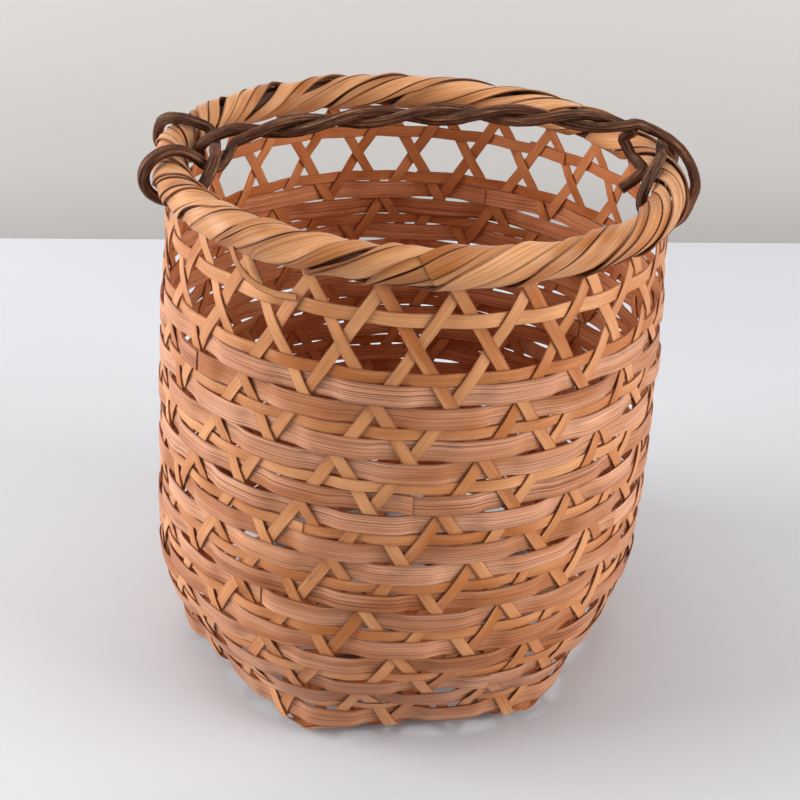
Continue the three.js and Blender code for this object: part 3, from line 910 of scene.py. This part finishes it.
# Its surface: slow swellings, long ridges and fine roughness, and what these give for the height of a crest.
swell_size = 0.28
swell_mm = 24
ridge_spread = 2.3
ridge_mm = 38
ridge_depth = 0.16
rough_spread = 4.5
rough_mm = 4.5
rough_depth = 0.09
crest_middle = 0.5
crest_from_ridge = 1.1
crest_from_rough = 0.5
# Its route: the lashings lie on the rim, and the arch between them turns round itself.
rim_radius = 7.8
vine_gap = 0.5
stand_off_unit = 2.2
lash_radius = rim_radius + vine_gap + stand_off_unit
route_steps = 16
strand_offset = 2.3
arch_half_twists = 5.5
arch_first_twist = 135
arch_steps = 48
arch_flare = 0.35
arch_flare_power = 10
arch_start = Vector((-77, 5, 229))
arch_bend = Vector((5, 5, 250))
arch_finish = Vector((88, 5, 242))
right_start = [(86.6, 190, 4), (87.4, 183, 2.2), (88.2, 170, 0.7), (89.9, 158, 0.2), (92, 155, 1.2),
               (94.6, 153, 2.5), (95.9, 148, 3.7), (96.8, 143, 5.2)]
left_lashing = [(-88, 180, 5.6), (-84, 184, 4.5), (-80.5, 181, 2.8), (-78.5, 170, 1.5), (-77.5, 150, 0.6),
                (-76.5, 125, 0.1), (-75, 90, 0), (-74, 55, 0.1), (-74.2, 25, 0.2), (-75, -5, 0.2),
                (-75.8, -35, 0.1), (-76, -65, 0), (-75.5, -95, 0), (-74, -125, 0), (-72, -155, 0.1),
                (-71.2, -175, 0.8), (-73.5, -192, 2.6), (-79, -198, 4.1), (-86, -195, 3.9),
                (-92.5, -182, 3.2), (-98.3, -190, 2.4), (-101, -204, 1.2), (-100, -225, 0.2),
                (-97.5, -262, 0), (-98.5, -300, 0), (-100.5, -335, 0.1), (-101, -370, 0.2),
                (-102.3, -405, 0.1), (-104.3, -440, 0), (-104, -475, 0), (-98.5, -512, 0),
                (-93.5, -538, 0), (-91.3, -551, 0.2), (-92, -557, 1.2), (-93.7, -560, 3.1)]
right_lashing = [(93.6, 116, 5.3), (93, 105, 3.8), (92, 88, 2.3), (90.2, 60, 1), (88, 28, 0.4),
                 (86.4, 0, 0.4), (84, -32, 0.2), (78.5, -58, 0), (75.5, -90, 0), (75, -130, 0), (75, -170, 0),
                 (76.5, -203, 0), (80.3, -216, 0), (84.7, -234, 0), (90.5, -252, 0), (96, -264, 0.2),
                 (100.5, -284, 0.5), (103, -320, 0.2), (103.2, -360, 0), (103.2, -400, 0), (103, -425, 0)]


def resample(points, spacing):
    """Points at even distances along a line of points."""
    even, carried = [points[0]], 0.0
    for a, b in zip(points, points[1:]):
        span = (b - a).length
        while carried + span >= spacing:
            a = a.lerp(b, (spacing - carried) / span)
            even.append(a)
            span = (b - a).length
            carried = 0.0
        carried += span
    return even


def arch_strand(first_twist):
    """One of the arch's two strands. They turn round each other, and stand wider apart at both ends."""
    strand = []
    for i in range(arch_steps + 1):
        share = i / arch_steps
        twist = math.radians(first_twist + 180 * arch_half_twists * share)
        flare = 1 + arch_flare * abs(2 * share - 1) ** arch_flare_power
        middle = arch_start.lerp(arch_bend, share).lerp(arch_bend.lerp(arch_finish, share), share)
        strand.append(middle + Vector((0, -math.cos(twist), math.sin(twist))) * strand_offset * flare)
    return strand


def lashed(rows):
    """The points of a lashing from its rows."""
    return [rim_point(angle, section, lash_radius + off * stand_off_unit) for angle, section, off in rows]


# Furrows have their sizes in mm, along and across the vine. Flakes and changes of hue have theirs per metre.
furrow_mm = (16, 0.7)
furrow_range = (0.42, 0.66)
flake_scale = 420.0
hue_scale = 45.0
hue_range = (0.35, 0.65)
crest_gain = 1.7
bark_relief = 0.8
bark_depth = 0.0007
bark_roughness = 0.75
bark_shine = 0.25


def bark(name):
    """Dry vine bark: dark brown and matt, with long ridges whose worn crests are paler and greyer."""
    material, tree = new_surface(name)
    mark = add_node(tree, "ShaderNodeAttribute", attribute_name="grain")
    ridge_height = add_node(tree, "ShaderNodeAttribute", attribute_name="ridge")
    parts = add_node(tree, "ShaderNodeSeparateXYZ", {"Vector": mark.outputs["Vector"]})
    along = calculated(tree, "MULTIPLY", parts.outputs["X"], 1 / furrow_mm[0])
    across = calculated(tree, "MULTIPLY", parts.outputs["Y"], 1 / furrow_mm[1])
    place = add_node(tree, "ShaderNodeCombineXYZ", {"X": along, "Y": across})
    furrows = add_node(tree, "ShaderNodeTexNoise", {"Vector": place.outputs[0], "Scale": 1.0, "Detail": 4.0})
    coords = add_node(tree, "ShaderNodeTexCoord")
    flakes = add_node(tree, "ShaderNodeTexNoise", {
        "Vector": coords.outputs["Object"], "Scale": flake_scale, "Detail": 4.0})
    warmth = add_node(tree, "ShaderNodeTexNoise", {
        "Vector": coords.outputs["Object"], "Scale": hue_scale, "Detail": 2.0})
    worn = ranged(tree, furrows.outputs["Fac"], *furrow_range)
    crest = calculated(tree, "MULTIPLY", worn, ridge_height.outputs["Fac"])
    patchy = calculated(tree, "MULTIPLY", crest, flakes.outputs["Fac"])
    paleness = calculated(tree, "MULTIPLY", patchy, crest_gain, clamped=True)
    hue = ranged(tree, warmth.outputs["Fac"], *hue_range)
    deep = blended(tree, hue, linear("#2E1307"), linear("#451E0B"))
    colour = blended(tree, paleness, deep, linear("#9C6E4C"))
    relief = calculated(tree, "ADD", furrows.outputs["Fac"], flakes.outputs["Fac"])
    bump = add_node(tree, "ShaderNodeBump", {
        "Strength": bark_relief, "Distance": bark_depth, "Height": relief})
    shader = add_node(tree, "ShaderNodeBsdfPrincipled", {
        "Base Color": colour, "Roughness": bark_roughness, "Specular IOR Level": bark_shine,
        "Normal": bump.outputs["Normal"]})
    add_node(tree, "ShaderNodeOutputMaterial", {"Surface": shader.outputs["BSDF"]})
    return material


def vine_shell(line, seed):
    """A tube along the line whose radius has long ridges, slow swellings and fine roughness.

    It comes with the height of the ridges at each point, from 0 to 1.
    """
    rings, lengths, heights = [], [], []
    side_way = Vector((0, 0, 1))
    for i, centre in enumerate(line):
        along = (line[min(i + 1, len(line) - 1)] - line[max(i - 1, 0)]).normalized()
        side_way = (side_way - along * side_way.dot(along)).normalized()
        other_way = along.cross(side_way)
        length = vine_step * i
        swell = wander(seed, length, swell_mm, swell_size)
        ring = []
        for j in range(vine_sides):
            turn = 2 * math.pi * j / vine_sides
            x, y = math.cos(turn), math.sin(turn)
            ridge = noise.noise(Vector((ridge_spread * x, ridge_spread * y, length / ridge_mm)))
            rough = noise.noise(Vector((rough_spread * x, rough_spread * y, length / rough_mm)))
            radius = vine_radius * (1 + ridge_depth * ridge + rough_depth * rough) + swell
            ring.append(centre + (side_way * x + other_way * y) * radius)
            height = crest_middle + crest_from_ridge * ridge + crest_from_rough * rough
            heights.append(min(1.0, max(0.0, height)))
        rings.append(ring)
        lengths.append(length)
    across = [vine_radius * 2 * math.pi * abs(j / vine_sides - 0.5) for j in range(vine_sides)]
    return (rings, lengths, across, [1.0] * vine_sides, [0.0] * vine_sides, seed, False), heights


route = lashed(right_start) + arch_strand(arch_first_twist + 180)[::-1]
route += lashed(left_lashing) + arch_strand(arch_first_twist) + lashed(right_lashing)
shell, ridge_heights = vine_shell(resample(centripetal(route, route_steps), vine_step), vine_seed)
vine = split_mesh("handle_vine_bark", [shell], bark("dry_vine_bark_dark_brown"))
vine.data.attributes.new("ridge", "FLOAT", "POINT").data.foreach_set("value", ridge_heights)
finish_piece(vine, "handle_vine")
